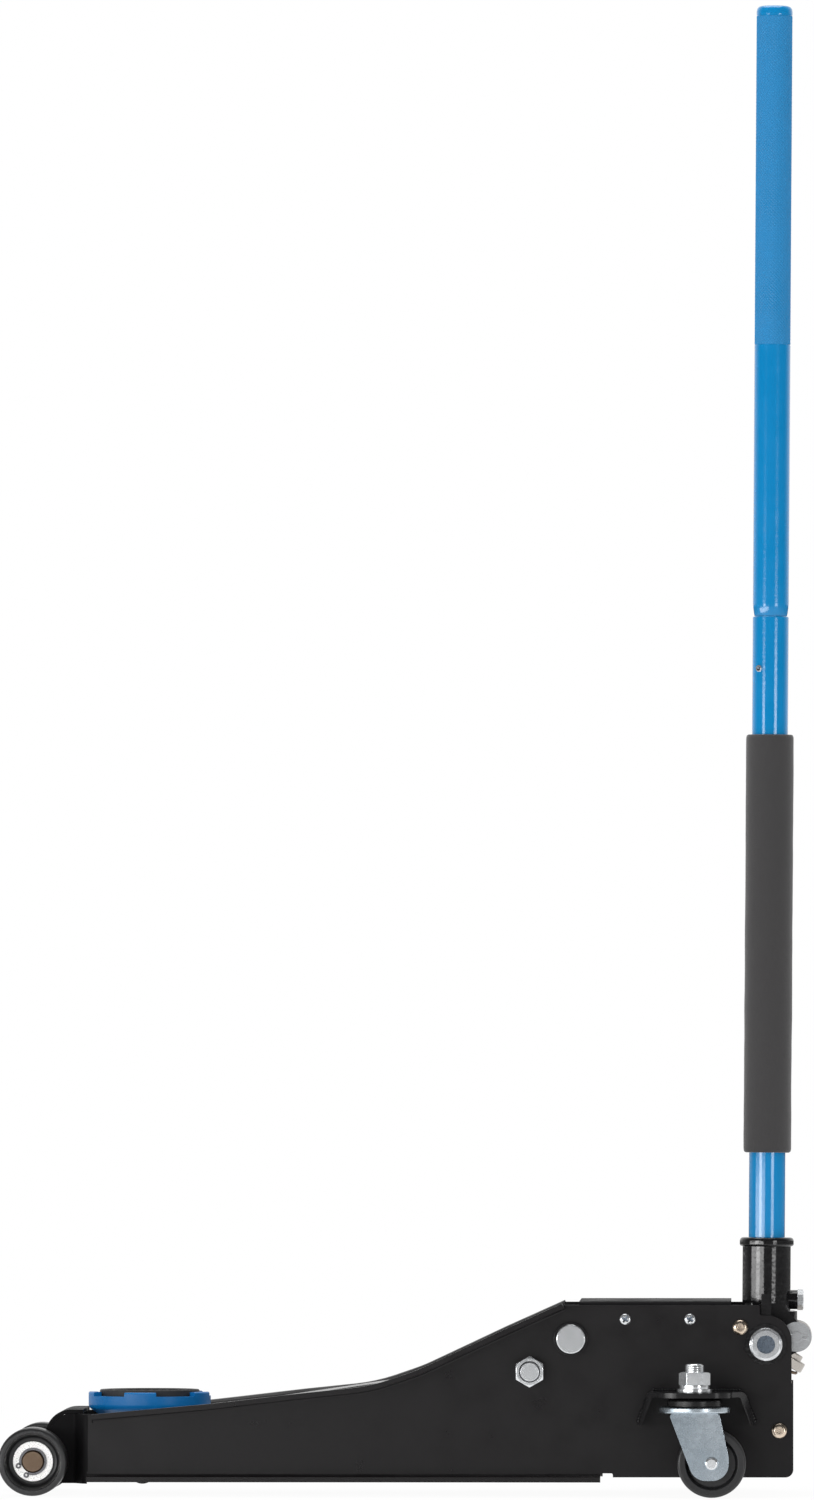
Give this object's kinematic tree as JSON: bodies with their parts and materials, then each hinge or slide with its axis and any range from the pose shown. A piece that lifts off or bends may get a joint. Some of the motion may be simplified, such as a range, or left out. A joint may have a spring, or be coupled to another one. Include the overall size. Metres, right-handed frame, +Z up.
{
  "type": "car jack",
  "caption": "Low-profile hydraulic trolley jack with a parallelogram lift arm, a round saddle, wheels and casters, and an upright two-part tube handle with a foam sleeve.",
  "frame": {"origin": "on the floor, midway along the length between the front wheels and the pump roller, on the centre plane", "axes": "+Z up, +X towards the handle end, +Y to the right of someone at the handle who faces the saddle"},
  "size_m": [0.7144, 0.332, 1.315],
  "materials": {
    "black_paint": "glossy black powder coat",
    "blue_paint": "glossy blue paint",
    "zinc": "bright zinc plate",
    "yellow_zinc": "yellowish zinc plate",
    "steel": "turned steel, lightly oiled",
    "black_wheel": "satin black cast iron",
    "foam": "black foam",
    "pad_rubber": "moulded black rubber",
    "spring_steel": "oiled spring wire",
    "cast_block": "painted casting"
  },
  "bodies": {
    "chassis": {"side_plate_right": "black_paint", "side_plate_left": "black_paint", "front_cross_plate": "black_paint", "rear_crossmember": "black_paint", "mid_crossmember": "black_paint", "tie_tube": "black_paint", "guard_nuts": "zinc", "frame_bolts": "yellow_zinc", "top_cover": "black_paint", "cover_screws": "zinc", "front_axle": "steel", "front_axle_washers": "zinc", "front_axle_circlips": "spring_steel", "lift_pivot_shaft": "steel", "lift_shaft_collars": "black_paint", "lift_shaft_caps": "zinc", "link_pivot_studs": "steel", "link_pivot_nuts": "zinc", "handle_pivot_bolts": "zinc", "caster_bracket_right": "black_paint", "caster_bracket_left": "black_paint", "caster_studs": "zinc", "caster_washers": "zinc", "caster_nuts": "zinc", "reservoir_tube": "cast_block", "ram_gland": "zinc", "hydraulic_block": "cast_block", "spring_posts": "zinc", "return_springs": "spring_steel", "pump_cylinder": "zinc", "plunger_spring": "spring_steel"},
    "lift_arm": {"lift_arm": "black_paint", "arm_front_pin": "zinc"},
    "link_rods": {"link_rods": "black_paint"},
    "carrier": {"saddle_carrier": "black_paint", "carrier_pin": "zinc"},
    "saddle": {"saddle": "blue_paint", "saddle_pad": "pad_rubber"},
    "ram": {"ram": "steel", "crosshead_pin": "steel"},
    "yoke": {"handle_yoke": "black_paint", "roller_pin": "zinc", "roller_spacers": "zinc"},
    "roller": {"pump_roller": "steel"},
    "handle": {"handle_socket": "black_paint", "clamp_bolt": "zinc", "lower_handle": "blue_paint", "upper_handle": "blue_paint", "foam_sleeve": "foam"},
    "button": {"handle_button": "zinc"},
    "plunger": {"pump_plunger": "zinc"},
    "valve": {"release_valve": "steel"},
    "caster_right": {"caster_fork_right": "zinc", "caster_axle_right": "zinc"},
    "caster_left": {"caster_fork_left": "zinc", "caster_axle_left": "zinc"},
    "caster_wheel_right": {"caster_wheel_right": "black_wheel"},
    "caster_wheel_left": {"caster_wheel_left": "black_wheel"},
    "front_wheel_right": {"front_wheel_right": "black_wheel"},
    "front_wheel_left": {"front_wheel_left": "black_wheel"}
  },
  "joints": [
    {"name": "front_wheel_right_roll", "type": "hinge", "parent": "chassis", "child": "front_wheel_right", "pos_m": [-0.3271, 0.088, 0.03], "axis": [0, 1, 0], "continuous": true},
    {"name": "front_wheel_left_roll", "type": "hinge", "parent": "chassis", "child": "front_wheel_left", "pos_m": [-0.3271, -0.088, 0.03], "axis": [0, 1, 0], "continuous": true},
    {"name": "caster_right_swivel", "type": "hinge", "parent": "chassis", "child": "caster_right", "pos_m": [0.2546, 0.134, 0.076], "axis": [0, 0, 1], "continuous": true},
    {"name": "caster_left_swivel", "type": "hinge", "parent": "chassis", "child": "caster_left", "pos_m": [0.2546, -0.134, 0.076], "axis": [0, 0, 1], "continuous": true},
    {"name": "caster_wheel_right_roll", "type": "hinge", "parent": "caster_right", "child": "caster_wheel_right", "pos_m": [0.2695, 0.134, 0.03], "axis": [0, 1, 0], "continuous": true},
    {"name": "caster_wheel_left_roll", "type": "hinge", "parent": "caster_left", "child": "caster_wheel_left", "pos_m": [0.2695, -0.134, 0.03], "axis": [0, 1, 0], "continuous": true},
    {"name": "lift", "type": "hinge", "parent": "chassis", "child": "lift_arm", "pos_m": [0.1456, 0, 0.1376], "axis": [0, 1, 0], "range_deg": [0, 60]},
    {"name": "link_swing", "type": "hinge", "parent": "chassis", "child": "link_rods", "pos_m": [0.1095, 0, 0.1091], "axis": [0, 1, 0], "range_deg": [0, 60]},
    {"name": "carrier_level", "type": "hinge", "parent": "lift_arm", "child": "carrier", "pos_m": [-0.196, 0, 0.05], "axis": [0, 1, 0], "range_deg": [-60, 0]},
    {"name": "saddle_turn", "type": "hinge", "parent": "carrier", "child": "saddle", "pos_m": [-0.228, 0, 0.06], "axis": [0, 0, 1], "continuous": true},
    {"name": "ram_slide", "type": "slide", "parent": "chassis", "child": "ram", "axis": [-1, 0, 0], "range_m": [0, 0.07], "deforming": ["return_springs"]},
    {"name": "handle_pump", "type": "hinge", "parent": "chassis", "child": "yoke", "pos_m": [0.317, 0, 0.133], "axis": [0, 1, 0], "range_deg": [0, 62], "stiffness_Nm_per_rad": 3, "springref_deg": -45.84},
    {"name": "handle_twist", "type": "hinge", "parent": "yoke", "child": "handle", "pos_m": [0.317, 0, 0.133], "axis": [0.0068, 0, 1], "range_deg": [0, 120]},
    {"name": "valve_turn", "type": "hinge", "parent": "chassis", "child": "valve", "pos_m": [0.282, 0.03, 0.11], "axis": [0, 0, 1], "range_deg": [0, 120]},
    {"name": "roller_spin", "type": "hinge", "parent": "yoke", "child": "roller", "pos_m": [0.34404, 0, 0.13882], "axis": [0, 1, 0], "continuous": true},
    {"name": "plunger_slide", "type": "slide", "parent": "chassis", "child": "plunger", "axis": [-0.5, 0, -0.866], "range_m": [0, 0.028], "deforming": ["plunger_spring"]},
    {"name": "button_press", "type": "slide", "parent": "handle", "child": "button", "axis": [0.606, 0.7955, -0.0041], "range_m": [0, 0.0025], "stiffness_N_per_m": 400, "springref_m": -0.002}
  ],
  "couplings": [
    {"joint": "link_swing", "follows": "lift", "ratio": 1},
    {"joint": "carrier_level", "follows": "lift", "ratio": -1},
    {"joint": "ram_slide", "follows": "lift", "m_per_rad": 0.0668},
    {"joint": "plunger_slide", "follows": "handle_pump", "m_per_rad": 0.0258},
    {"joint": "valve_turn", "follows": "handle_twist", "ratio": 1}
  ]
}
